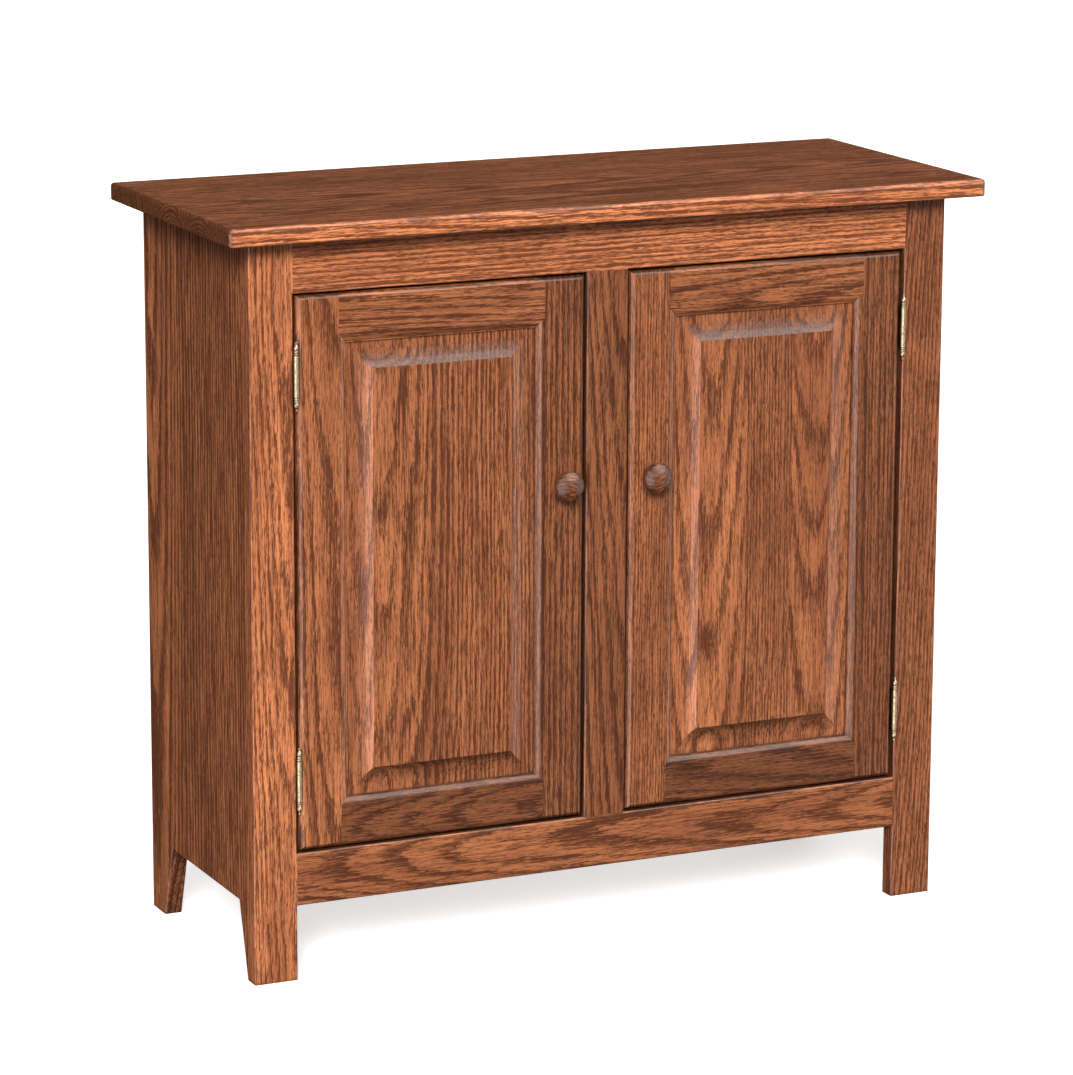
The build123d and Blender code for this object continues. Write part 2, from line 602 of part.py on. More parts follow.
def along_side(side, outline):
    """Lay a cutter's outline along one whole side of the door."""
    face = make_face(outline)
    reach = (DOOR_TOP - DOOR_BOTTOM) + (DOOR_LATCH_X - DOOR_HINGE_X)
    return door_sides()[side] * extrude(face, amount=reach / 2, both=True)


def edge_cutter(side):
    """Rounds the door's outer edge, and leaves a crisp line where it meets the flat."""
    outer = -CUT_PAST
    curve = RadiusArc((DOOR_EDGE_WIDTH, 0), (0, DOOR_EDGE_DEPTH), DOOR_EDGE_RADIUS)
    lines = Polyline(
        (0, DOOR_EDGE_DEPTH), (outer, DOOR_EDGE_DEPTH), (outer, outer), (DOOR_EDGE_WIDTH, outer),
        (DOOR_EDGE_WIDTH, 0))
    return along_side(side, [*curve.edges(), *lines.edges()])


def sticking_cutter(side):
    """The stepped quarter-round on the frame's inner edge."""
    start = flat_width(side)
    inner = start + STICKING_WIDTH
    bead = start + STICKING_STEP
    bead_end = (bead + STICKING_BEAD, STICKING_STEP + STICKING_DROP)
    sight = (inner + CUT_PAST, STICKING_STEP + STICKING_DROP)
    radius = (STICKING_BEAD ** 2 + STICKING_DROP ** 2) / (2 * STICKING_DROP)
    curve = RadiusArc((bead, STICKING_STEP), bead_end, -radius)
    lines = Polyline(
        bead_end, sight, (sight[0], -CUT_PAST), (start, -CUT_PAST), (start, STICKING_STEP),
        (bead, STICKING_STEP))
    return along_side(side, [*curve.edges(), *lines.edges()])


def groove_cutter(side):
    inner = flat_width(side) + STICKING_WIDTH
    bottom = inner - GROOVE_DEPTH
    mouth = inner + CUT_PAST
    return along_side(side, Polyline(
        (bottom, GROOVE_FRONT), (mouth, GROOVE_FRONT), (mouth, GROOVE_BACK), (bottom, GROOVE_BACK), close=True))


def raise_cutter(side):
    """The cove that leaves the panel's raised field, shallow at first, then steep up to a small shoulder."""
    sight = flat_width(side) + STICKING_WIDTH
    field = sight + PANEL_RAISE_WIDTH
    outer = sight - GROOVE_DEPTH - CUT_PAST
    tongue = GROOVE_BACK - PANEL_TONGUE
    shoulder = PANEL_FIELD_RECESS + PANEL_SHOULDER
    cove_end = field - PANEL_COVE_WIDTH
    turn = (cove_end + PANEL_COVE_SHALLOW_WIDTH, tongue - PANEL_COVE_SHALLOW_RISE)
    shallow = TangentArc((cove_end, tongue), turn, tangent=(1, 0))
    steep = TangentArc(turn, (field, shoulder), tangent=shallow % 1)
    lines = Polyline(
        (field, shoulder), (field, -CUT_PAST), (outer, -CUT_PAST), (outer, tongue), (cove_end, tongue))
    return along_side(side, [*shallow.edges(), *steep.edges(), *lines.edges()])


def make_door_frame():
    """Stiles and rails of the left door, the rails coped to the stiles with stub tenons."""
    edges = {side: edge_cutter(side) for side in door_sides()}
    sticking = {side: sticking_cutter(side) for side in door_sides()}
    grooves = {side: groove_cutter(side) for side in door_sides()}
    hinge_stile = block(
        DOOR_HINGE_X, DOOR_HINGE_X + DOOR_STILE_WIDTH, FRONT, DOOR_BACK, DOOR_BOTTOM, DOOR_TOP)
    latch_stile = block(
        DOOR_LATCH_X - DOOR_STILE_WIDTH, DOOR_LATCH_X, FRONT, DOOR_BACK, DOOR_BOTTOM, DOOR_TOP)
    ends = [edges["top"], edges["bottom"]]
    hinge_stile = cut_all(hinge_stile, [edges["hinge"], sticking["hinge"], grooves["hinge"]] + ends)
    latch_stile = cut_all(latch_stile, [edges["latch"], sticking["latch"], grooves["latch"]] + ends)
    reach = DOOR_STILE_WIDTH - GROOVE_DEPTH
    rails = {}
    for side in ("top", "bottom"):
        z0 = DOOR_TOP - DOOR_RAIL_WIDTH if side == "top" else DOOR_BOTTOM
        rail = block(
            DOOR_HINGE_X + reach, DOOR_LATCH_X - reach, FRONT, DOOR_BACK, z0, z0 + DOOR_RAIL_WIDTH)
        rails[side] = cut_all(rail, [edges[side], sticking[side], grooves[side], hinge_stile, latch_stile])
    return hinge_stile, latch_stile, rails


def make_door_panel():
    side_reach = DOOR_STILE_WIDTH - GROOVE_DEPTH + PANEL_SIDE_CLEARANCE
    end_reach = DOOR_RAIL_WIDTH - GROOVE_DEPTH
    panel = block(
        DOOR_HINGE_X + side_reach, DOOR_LATCH_X - side_reach,
        FRONT + PANEL_FIELD_RECESS, FRONT + GROOVE_BACK,
        DOOR_BOTTOM + end_reach, DOOR_TOP - end_reach - PANEL_TOP_CLEARANCE)
    return cut_all(panel, [raise_cutter(side) for side in door_sides()])


def knob_outline():
    """Half outline of the turned knob as a closed loop of (radius, distance from the door)."""
    rim = (KNOB_RADIUS, KNOB_WIDEST)
    neck = Spline(
        (KNOB_FOOT_RADIUS, KNOB_FOOT_LENGTH),
        (KNOB_NECK_RADIUS, KNOB_NECK_PLACE),
        rim,
        tangents=[(-1, 0.4), (0, 1)])
    dome = Spline(rim, (KNOB_RADIUS * 0.72, KNOB_LENGTH - 2.6), (0, KNOB_LENGTH), tangents=[(0, 1), (-1, 0)])
    lines = Polyline((0, KNOB_LENGTH), (0, 0), (KNOB_FOOT_RADIUS, 0), (KNOB_FOOT_RADIUS, KNOB_FOOT_LENGTH))
    return [*neck.edges(), *dome.edges(), *lines.edges()]


def make_knob():
    """The knob, its screw from the back of the door, and the screw's hole in the stile."""
    turned = revolve(Plane.XZ * make_face(knob_outline()), Axis.Z)
    knob = Plane(origin=(KNOB_X, FRONT, KNOB_Z), x_dir=(1, 0, 0), z_dir=(0, -1, 0)) * turned
    length = DOOR_THICKNESS + KNOB_SCREW_GRIP
    shank = rod((KNOB_X, DOOR_BACK, KNOB_Z), (0, -1, 0), KNOB_SCREW_RADIUS, length)
    head = rod((KNOB_X, DOOR_BACK, KNOB_Z), (0, 1, 0), KNOB_SCREW_HEAD_RADIUS, KNOB_SCREW_HEAD_LENGTH)
    head = fillet(head.edges().group_by(Axis.Y)[-1], KNOB_SCREW_HEAD_LENGTH / 2)
    slot_y = DOOR_BACK + KNOB_SCREW_HEAD_LENGTH
    slot = Pos(KNOB_X, slot_y, KNOB_Z) * Box(2 * KNOB_SCREW_HEAD_RADIUS, KNOB_SCREW_SLOT, KNOB_SCREW_SLOT)
    return one_solid(knob - shank), one_solid(shank + head - slot), shank


def make_strike():
    """The steel plate that the catch holds, with its screw, on the back of the door."""
    x0 = CATCH_X - STRIKE_LENGTH / 2
    z0 = CATCH_MID_Z - DOOR_GAP_TOP - STRIKE_HEIGHT / 2
    plate = block(x0, x0 + STRIKE_LENGTH, DOOR_BACK, DOOR_BACK + STRIKE_THICKNESS, z0, z0 + STRIKE_HEIGHT)
    plate = fillet(plate.edges().filter_by(Axis.Y), STRIKE_HEIGHT / 4)
    start = (CATCH_X, DOOR_BACK + STRIKE_THICKNESS, z0 + STRIKE_HEIGHT / 2)
    screw = wood_screw(start, (0, -1, 0), STRIKE_SCREW_RADIUS, STRIKE_SCREW_HEAD_RADIUS, STRIKE_SCREW_LENGTH)
    slotted = screw - screw_slot(start, (0, -1, 0), STRIKE_SCREW_HEAD_RADIUS)
    return plate - screw, slotted, screw


# ---------------------------------------------------------------- assembly
def make_hinges_and_doors():
    hinge_stile, latch_stile, rails = make_door_frame()
    frame_stile = parts["frame_stile_left"]
    door_screws = []
    frame_screws = []
    for place, middle in HINGE_HEIGHTS.items():
        in_frame, in_door = make_hinge(place, middle)
        frame_stile = cut_all(frame_stile, [plain for plain, slotted in in_frame])
        hinge_stile = cut_all(hinge_stile, [plain for plain, slotted in in_door])
        frame_screws += [slotted for plain, slotted in in_frame]
        door_screws += [slotted for plain, slotted in in_door]
    both_sides("frame_stile", frame_stile)
    parts["hinge_frame_screws"] = group(frame_screws + [mirror(s, about=Plane.YZ) for s in frame_screws])

    knob, knob_screw, knob_hole = make_knob()
    strike, strike_screw, strike_hole = make_strike()
    latch_stile = cut_all(latch_stile, [knob_hole])
    top_rail = cut_all(rails["top"], [strike_hole])
    latch_stile = cut_all(latch_stile, [strike_hole])
    both_sides("door_hinge_stile", hinge_stile)
    both_sides("door_latch_stile", latch_stile)
    both_sides("door_top_rail", top_rail)
    both_sides("door_bottom_rail", rails["bottom"])
    both_sides("door_panel", make_door_panel())
    both_sides("door_knob", knob)
    both_sides("door_knob_screw", knob_screw)
    both_sides("door_strike_plate", one_solid(strike))
    both_sides("door_strike_screw", one_solid(strike_screw))
    both_sides("door_hinge_screws", group(door_screws))


def make_carcass():
    side = make_side_panels()
    top_board = make_top_board()
    make_face_frame()
    make_carcass_inside()
    top_screws, side_screws = make_cleats()
    for plain, slotted in top_screws:
        top_board = top_board - plain - mirror(plain, about=Plane.YZ)
    side = cut_all(side, [plain for plain, slotted in side_screws])
    for name, screws in (("top_screws", top_screws), ("cleat_screws", side_screws)):
        kept = [slotted for plain, slotted in screws]
        parts[name] = group(kept + [mirror(s, about=Plane.YZ) for s in kept])
    nails = make_nails()
    for name in ("back_panel", "back_top_rail", "bottom_panel"):
        parts[name] = cut_all(parts[name], nails)
    side = cut_all(side, nails)
    parts["back_nails"] = group(nails)
    both_sides("side_panel", side)
    parts["top_board"] = one_solid(top_board)
    parts["shelf"] = make_shelf()
    parts["shelf_pins"] = make_shelf_pins()


make_carcass()
make_catches()
make_hinges_and_doors()

os.makedirs("parts", exist_ok=True)
for name, shape in parts.items():
    export_step(shape, f"parts/{name}.step")
print(len(parts), "nodes")
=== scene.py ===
import math
import random
from collections import namedtuple

import bpy
from mathutils import Matrix, Vector


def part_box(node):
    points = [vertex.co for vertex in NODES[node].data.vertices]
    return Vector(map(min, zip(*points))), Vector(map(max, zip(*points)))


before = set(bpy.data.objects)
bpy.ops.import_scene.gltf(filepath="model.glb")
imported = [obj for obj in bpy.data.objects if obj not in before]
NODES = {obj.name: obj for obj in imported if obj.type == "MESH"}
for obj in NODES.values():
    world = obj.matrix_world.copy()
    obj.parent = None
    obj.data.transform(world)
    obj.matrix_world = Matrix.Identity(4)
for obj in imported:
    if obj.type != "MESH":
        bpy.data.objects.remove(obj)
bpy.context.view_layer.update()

X, Y, Z = 0, 1, 2

# ---------------------------------------------------------------- camera
CAMERA_PLACE = Vector((-2.067, -4.3983, 1.5356))
CAMERA_FORWARD = Vector((0.4121, 0.8831, -0.2243))
CAMERA_RIGHT = Vector((0.90659, -0.42199, 0.00422))
CAMERA_LENS = 151.78
SENSOR_WIDTH = 36.0

# ---------------------------------------------------------------- lights and floor
# A soft box is seen in reflections. It glows fully where a direction's cosine to "toward" is above "full",
# and has faded out at "edge".
SoftBox = namedtuple("SoftBox", "toward edge full strength")
SOFT_BOXES = [
    SoftBox((-0.68, -0.7, -0.15), 0.5, 0.95, 3.6),
    SoftBox((0.4, -0.6, 0.65), 0.68, 0.97, 5.4),
    SoftBox((0.88, -0.41, -0.22), 0.83, 0.97, 1.6),
    SoftBox((0.41, -0.88, -0.22), 0.84, 0.97, 0.03),
]
# A sun lights matt surfaces. spread is the angle that it covers, in degrees.
Sun = namedtuple("Sun", "name toward spread strength")
SUNS = [
    Sun("key", Vector((-0.5, -1.0, 0.6)), 22.0, 5.1),
    Sun("rear_fill", Vector((0.85, 1.0, 0.15)), 60.0, 2.6),
]
SUN_DISTANCE = 5.0
SUN_RIGHT = Vector((0.3, 0.2, 0.1))
BACKDROP_SHOWN = 1.0
ROOM_LIGHT = 0.24
ROOM_GLOSS = 0.02
FLOOR_SIZE = 80.0
FLOOR_GLOW = 0.5
FLOOR_ROUGH = 0.9
FLOOR_SPECULAR = 0.1

# ---------------------------------------------------------------- colours (linear)
WHITE = (1.0, 1.0, 1.0, 1.0)
OAK_LIGHT = (0.49, 0.17, 0.067, 1.0)
OAK_MID = (0.30, 0.098, 0.039, 1.0)
OAK_DARK = (0.066, 0.0185, 0.0075, 1.0)
BRASS = (0.4, 0.32, 0.2, 1.0)
BRASS_DARK = (0.04, 0.028, 0.016, 1.0)
STEEL = (0.3, 0.3, 0.295, 1.0)
STEEL_DARK = (0.16, 0.155, 0.15, 1.0)
PLASTIC = (0.14, 0.07, 0.035, 1.0)
PLASTIC_SPECK = (0.2, 0.11, 0.06, 1.0)
FLOOR = (0.9, 0.9, 0.895, 1.0)

# ---------------------------------------------------------------- noises
# scale is in cycles per metre: along the grain, across the board and into it for oak, and x, y and z for
# the rest.
Noise = namedtuple("Noise", "scale detail rough")
SWAY = Noise((2.4, 6.0, 6.0), 0.0, 0.5)
WAVE = Noise((6.0, 20.0, 20.0), 1.0, 0.5)
JAG = Noise((48.0, 420.0, 420.0), 3.0, 0.7)
PORES = Noise((110.0, 1500.0, 1500.0), 2.0, 0.6)
STREAKS = Noise((20.0, 560.0, 560.0), 4.0, 0.7)
RAYS = Noise((95.0, 1500.0, 160.0), 1.0, 0.5)
CLOUDS = Noise((4.0, 30.0, 30.0), 2.0, 0.5)
PATCHES = Noise((5.0, 50.0, 50.0), 2.0, 0.5)
FILM = Noise((900.0, 900.0, 315.0), 3.0, 0.6)
SCRATCHES = Noise((5200.0, 5200.0, 240.0), 2.0, 0.5)
GRIT = Noise((2400.0, 2400.0, 2400.0), 2.0, 0.5)
TOOTH = Noise((400.0, 400.0, 400.0), 2.0, 0.5)

FILM_PLACE = (0.3, 1.7, 4.1)
SCRATCHES_PLACE = (2.0, 0.4, 0.9)
ORIGIN = (0.0, 0.0, 0.0)

# ---------------------------------------------------------------- mappings
# A span takes low..high to to_low..to_high, and holds its end values outside.
Span = namedtuple("Span", "low high to_low to_high", defaults=(0.0, 1.0))
PORES_BREAK_BANDS = Span(0.34, 0.62, 0.6, 1.15)
PATCHES_FADE_BANDS = Span(0.3, 0.7, 0.7, 1.2)
RAY_FLECKS = Span(0.63, 0.72, 0.0, 0.3)
STREAKS_DARKEN = Span(0.3, 0.7, -0.75, 0.92)
PORES_DARKEN = Span(0.5, 0.62, 0.0, 0.75)
DARK_LIMITS = Span(0.0, 1.0, 0.0, 0.95)
CLOUDS_BLEND = Span(0.3, 0.7)
END_GRAIN_TONE = Span(0.04, 0.24, 1.0, 0.5)
# painted shade: how much darker the oak is drawn in crevices and gaps, by their openness
PAINTED_CREVICE_SHADE = Span(0.25, 0.72, 0.28, 1.0)
OAK_ROUGH = Span(0.0, 1.0, 0.4, 0.55)
FILM_COVER = Span(0.42, 0.72, 0.0, 0.75)
# grime and painted shade: how much darker metal is drawn in its grooves, by their openness
GROOVE_GRIME_AND_SHADE = Span(0.45, 0.85, 1.0, 0.0)
GRIT_BLEND = Span(0.3, 0.7, 0.0, 0.25)

# ---------------------------------------------------------------- oak and hardware, the rest
SHIFTS = 6
SHIFT_LIMIT = 9
STAVE_JUMP = 3.7
SWAY_SIZE = 0.016
WAVE_SIZE = 0.006
JAG_SIZE = 0.0042
UNEVEN_PER_RING = 0.41
UNEVEN_SIZE = 1.3
# how dark a ring is over its width, from the pores that it starts with to its dense late wood
RING_BAND = [(0.0, 0.5), (0.05, 1.0), (0.26, 0.95), (0.42, 0.62), (0.58, 0.22), (0.78, 0.05), (1.0, 0.0)]
RIFT_BAND = 1.0
# painted light on faces that slant across a board: the slant where it starts and where it is full
PAINTED_SLANT_LIGHT_STARTS = 0.08
PAINTED_SLANT_LIGHT_FULL = 0.3
OAK_SPECULAR = 0.12
OAK_COAT = 0.6
OAK_COAT_ROUGH = 0.17
OCCLUSION_SAMPLES = 6
CREVICE_SHADE_REACH = 0.008
GROOVE_REACH = 0.0016
BRASS_ROUGH = 0.24
STEEL_ROUGH = 0.4
METAL_ROUGH_SPREAD = 0.2
PLASTIC_ROUGH = 0.5
STEEL_WORDS = ("screw", "nails", "magnet", "strike", "pins")

# A bump's height in metres, and its strength.
Bump = namedtuple("Bump", "distance strength")
OAK_BUMP = Bump(0.0003, 0.6)
METAL_BUMP = Bump(0.00003, 0.5)
PLASTIC_BUMP = Bump(0.00006, 0.6)
FLOOR_BUMP = Bump(0.0001, 0.1)


# ---------------------------------------------------------------- shader graphs
class Graph:
    """Adds and links the shader nodes of one material."""

    def __init__(self, name):
        self.material = bpy.data.materials.new(name)
        self.material.use_nodes = True
        self.tree = self.material.node_tree
        self.tree.nodes.clear()

    def feed(self, socket, value):
        if isinstance(value, bpy.types.NodeSocket):
            self.tree.links.new(value, socket)
        else:
            socket.default_value = value

    def add(self, kind, settings=None, inputs=None):
        node = self.tree.nodes.new(kind)
        for key, value in (settings or {}).items():
            setattr(node, key, value)
        for key, value in (inputs or {}).items():
            self.feed(node.inputs[key], value)
        return node

    def coordinates(self, kind):
        return self.add("ShaderNodeTexCoord").outputs[kind]

    def split(self, vector):
        """The x, y and z of a vector."""
        return self.add("ShaderNodeSeparateXYZ", None, {0: vector}).outputs

    def math(self, operation, *values):
        inputs = dict(enumerate(values))
        return self.add("ShaderNodeMath", {"operation": operation}, inputs).outputs[0]

    def scaled(self, vector, scale, offset):
        """vector * scale + offset, each a triple."""
        inputs = {0: vector, 1: scale, 2: offset}
        return self.add("ShaderNodeVectorMath", {"operation": "MULTIPLY_ADD"}, inputs).outputs[0]

    def noise(self, vector, kind, offset):
        """Smooth noise of a kind. About 0 to 1, with 0.5 in the middle."""
        place = self.scaled(vector, kind.scale, offset)
        inputs = {"Vector": place, "Scale": 1.0, "Detail": kind.detail, "Roughness": kind.rough}
        return self.add("ShaderNodeTexNoise", None, inputs).outputs["Fac"]

    def range(self, value, span, smooth=False):
        kind = "SMOOTHSTEP" if smooth else "LINEAR"
        inputs = {
            "Value": value, "From Min": span.low, "From Max": span.high,
            "To Min": span.to_low, "To Max": span.to_high}
        return self.add("ShaderNodeMapRange", {"interpolation_type": kind}, inputs).outputs[0]

    def ramp(self, value, stops):
        """A grey ramp through (place, value) stops."""
        node = self.add("ShaderNodeValToRGB", None, {"Fac": value})
        elements = node.color_ramp.elements
        while len(elements) < len(stops):
            elements.new(0.5)
        for element, (place, level) in zip(elements, stops):
            element.position = place
            element.color = (level, level, level, 1.0)
        return node.outputs["Color"]

    def blend(self, factor, first, second, mode="MIX"):
        node = self.add("ShaderNodeMix", {"data_type": "RGBA", "blend_type": mode})
        self.feed(node.inputs["Factor"], factor)
        self.feed(node.inputs[6], first)
        self.feed(node.inputs[7], second)
        return node.outputs[2]

    def openness(self, reach):
        """1 on open surfaces, and less in hollows narrower than reach."""
        settings = {"samples": OCCLUSION_SAMPLES}
        return self.add("ShaderNodeAmbientOcclusion", settings, {"Distance": reach}).outputs["AO"]

    def surface(self, inputs, height, bump):
        """Ends the graph in a principled shader with a bump."""
        shader = self.add("ShaderNodeBsdfPrincipled", None, inputs)
        relief = self.add("ShaderNodeBump", None, {
            "Height": height, "Distance": bump.distance, "Strength": bump.strength})
        self.feed(shader.inputs["Normal"], relief.outputs["Normal"])
        output = self.add("ShaderNodeOutputMaterial")
        self.feed(output.inputs["Surface"], shader.outputs[0])
        return self.material


# ---------------------------------------------------------------- oak
# One glued stave of a board. share is its part of the board's width. The tree's centre ran at "away" across
# from the stave's middle and at "behind" along the face's axis, and it leans off the board's length by "lean"
# in depth and by "skew" across the face. tone is the stain's brightness, and contrast is how strongly the
# grain shows. spacing is the width of a year's ring, and band sets how much of it is dark. Lengths are in
# metres.
Stave = namedtuple("Stave", "share away behind tone spacing lean skew contrast band")


def rift(share, away, behind, tone=1.0, spacing=0.0065, lean=0.012, skew=0.0, contrast=1.0):
    """A stave whose rings cross its face steeply, so its lines run straight."""
    return Stave(share, away, behind, tone, spacing, lean, skew, contrast, RIFT_BAND)


def flat(share, away, behind, tone=1.0, spacing=0.005, lean=0.05, skew=0.0, contrast=1.0, band=0.72):
    """A stave cut flat off the tree, with arches in its middle."""
    return Stave(share, away, behind, tone, spacing, lean, skew, contrast, band)


def glue_lines(staves, width):
    """The places across a board of the edges between its staves, and of each stave's tree centre."""
    edges = []
    centres = []
    start = -width / 2
    for stave in staves:
        centres.append(start + stave.share * width / 2 + stave.away)
        start += stave.share * width
        edges.append(start)
    edges.pop()
    return edges, centres


def stepped(graph, place, edges, values):
    """A value that jumps at each glued edge across a board."""
    total = values[0]
    for edge, before, after in zip(edges, values, values[1:]):
        if after != before:
            past = graph.math("GREATER_THAN", place, edge)
            total = graph.math("MULTIPLY_ADD", past, after - before, total)
    return total


def oak(name, node, grain, face, staves, wild, seed, edge=1.0):
    """Stained red oak, solid all through: growth rings round the tree's centre, with pores and rays.

    grain is the axis along the fibres, and face the axis that the widest face looks along. wild is how much
    the rings wander. edge is painted light: it scales the colour of the faces and bevels that slant across
    the board, standing in for how the lights fall on them.
    """
    graph = Graph(name)
    low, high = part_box(node)
    middle = (low + high) / 2
    across = 3 - grain - face
    chance = random.Random(seed)
    shift = [chance.uniform(-SHIFT_LIMIT, SHIFT_LIMIT) for _ in range(SHIFTS)]

    place = graph.split(graph.coordinates("Object"))
    along = graph.math("SUBTRACT", place[grain], middle[grain])
    wide = graph.math("SUBTRACT", place[across], middle[across])
    deep = graph.math("SUBTRACT", place[face], middle[face])
    edges, centres = glue_lines(staves, high[across] - low[across])

    def each(field):
        return stepped(graph, wide, edges, [getattr(stave, field) for stave in staves])

    index = stepped(graph, wide, edges, list(range(len(staves))))
    centre = stepped(graph, wide, edges, centres)

    # every stave reads its own stretch of the noise
    jump = graph.math("MULTIPLY", index, STAVE_JUMP)
    here = graph.add("ShaderNodeCombineXYZ", None, {
        0: graph.math("ADD", along, jump), 1: wide, 2: graph.math("ADD", deep, jump)}).outputs[0]

    # the distance to the tree's centre line, with the trunk's own sway, waves and rough ring lines
    from_centre = graph.math("MULTIPLY_ADD", along, each("skew"), graph.math("SUBTRACT", wide, centre))
    from_depth = graph.math("MULTIPLY_ADD", along, each("lean"), graph.math("SUBTRACT", deep, each("behind")))
    across_squared = graph.math("MULTIPLY", from_centre, from_centre)
    radius = graph.math("SQRT", graph.math("MULTIPLY_ADD", from_depth, from_depth, across_squared))
    sway = graph.noise(here, SWAY, (shift[0], shift[1], 0.0))
    wave = graph.noise(here, WAVE, (shift[1], 0.0, shift[2]))
    jag = graph.noise(here, JAG, (0.0, shift[2], shift[3]))
    for noise, size in ((sway, SWAY_SIZE * wild), (wave, WAVE_SIZE * wild), (jag, JAG_SIZE)):
        radius = graph.math("MULTIPLY_ADD", graph.math("SUBTRACT", noise, 0.5), size, radius)

    # rings of uneven width, each dark over its band
    rings = graph.math("DIVIDE", radius, each("spacing"))
    uneven = graph.add("ShaderNodeTexNoise", {"noise_dimensions": "1D"}, {
        "W": graph.math("MULTIPLY_ADD", rings, UNEVEN_PER_RING, shift[4]),
        "Scale": 1.0, "Detail": 1.0}).outputs["Fac"]
    rings = graph.math("MULTIPLY_ADD", uneven, UNEVEN_SIZE, rings)
    phase = graph.math("FRACT", rings)
    bands = graph.ramp(graph.math("DIVIDE", phase, each("band")), RING_BAND)

    pores = graph.noise(here, PORES, (shift[3], 0.0, shift[4]))
    streaks = graph.noise(here, STREAKS, (0.0, shift[5], shift[0]))
    rays = graph.noise(here, RAYS, (shift[5], shift[4], 0.0))
    clouds = graph.noise(here, CLOUDS, (shift[2], shift[5], 0.0))
    patches = graph.noise(here, PATCHES, (shift[0], shift[3], 0.0))

    dark = graph.math("MULTIPLY", bands, graph.range(pores, PORES_BREAK_BANDS))
    dark = graph.math("MULTIPLY", dark, graph.range(patches, PATCHES_FADE_BANDS))
    dark = graph.math("MULTIPLY", dark, each("contrast"))
    dark = graph.math("MAXIMUM", dark, graph.range(rays, RAY_FLECKS, smooth=True))
    streaked = graph.math("MULTIPLY", graph.range(streaks, STREAKS_DARKEN), each("contrast"))
    dark = graph.math("ADD", dark, streaked)
    dark = graph.math("ADD", dark, graph.range(pores, PORES_DARKEN))
    dark = graph.range(dark, DARK_LIMITS)
    base = graph.blend(graph.range(clouds, CLOUDS_BLEND), OAK_LIGHT, OAK_MID)
    colour = graph.blend(dark, base, OAK_DARK)

    # stain: darker on end grain. Painted shade: darker in crevices and gaps, where shade falls
    facing = graph.split(graph.coordinates("Normal"))
    end_grain = graph.range(graph.math("ABSOLUTE", facing[grain]), END_GRAIN_TONE)
    # painted shade: the colour darkens where ambient occlusion finds a hollow
    crevice_shade = graph.range(graph.openness(CREVICE_SHADE_REACH), PAINTED_CREVICE_SHADE)
    shade = graph.math("MULTIPLY", graph.math("MULTIPLY", end_grain, crevice_shade), each("tone"))
    # painted light: edge scales the colour of faces and bevels that slant across the board, as the lights
    # would
    if edge != 1.0:
        slant = graph.math("ABSOLUTE", facing[across])
        slant_painted_light = graph.range(slant, Span(PAINTED_SLANT_LIGHT_STARTS, PAINTED_SLANT_LIGHT_FULL, 1.0, edge))
        shade = graph.math("MULTIPLY", shade, slant_painted_light)
    grey = graph.add("ShaderNodeCombineColor", None, {0: shade, 1: shade, 2: shade}).outputs[0]
    colour = graph.blend(1.0, colour, grey, "MULTIPLY")
    return graph.surface({
        "Base Color": colour, "Roughness": graph.range(dark, OAK_ROUGH), "Specular IOR Level": OAK_SPECULAR,
        "Coat Weight": OAK_COAT, "Coat Roughness": OAK_COAT_ROUGH,
    }, graph.math("SUBTRACT", 1.0, dark), OAK_BUMP)


# ---------------------------------------------------------------- metal, plastic and paper
def metal(name, light, dark, rough):
    """Metal with a mottled film, fine scratches, and grime with painted shade in its grooves, where occlusion
    darkens it.
    """
    graph = Graph(name)
    place = graph.coordinates("Object")
    film = graph.noise(place, FILM, FILM_PLACE)
    scratches = graph.noise(place, SCRATCHES, SCRATCHES_PLACE)
    mottled = graph.range(film, FILM_COVER, smooth=True)
    # grime and painted shade: the metal darkens where ambient occlusion finds a groove
    grime_and_shade = graph.math("MAXIMUM", mottled, graph.range(graph.openness(GROOVE_REACH), GROOVE_GRIME_AND_SHADE))
    colour = graph.blend(grime_and_shade, light, dark)
    dulled = graph.range(film, Span(0.3, 0.7, rough, rough + METAL_ROUGH_SPREAD))
    return graph.surface({"Base Color": colour, "Metallic": 1.0, "Roughness": dulled}, scratches, METAL_BUMP)


def plastic(name, colour):
    """Plain plastic with a fine grit."""
    graph = Graph(name)
    grit = graph.noise(graph.coordinates("Object"), GRIT, ORIGIN)
    tint = graph.blend(graph.range(grit, GRIT_BLEND), colour, PLASTIC_SPECK)
    return graph.surface({"Base Color": tint, "Roughness": PLASTIC_ROUGH}, grit, PLASTIC_BUMP)


def floor_paper():
    """Pale paper that glows a little, so that it comes out near white beside the dark wood."""
    graph = Graph("floor_paper")
    tooth = graph.noise(graph.coordinates("Object"), TOOTH, ORIGIN)
    return graph.surface({
        "Base Color": FLOOR, "Roughness": FLOOR_ROUGH, "Specular IOR Level": FLOOR_SPECULAR,
        "Emission Color": WHITE, "Emission Strength": FLOOR_GLOW,
    }, tooth, FLOOR_BUMP)
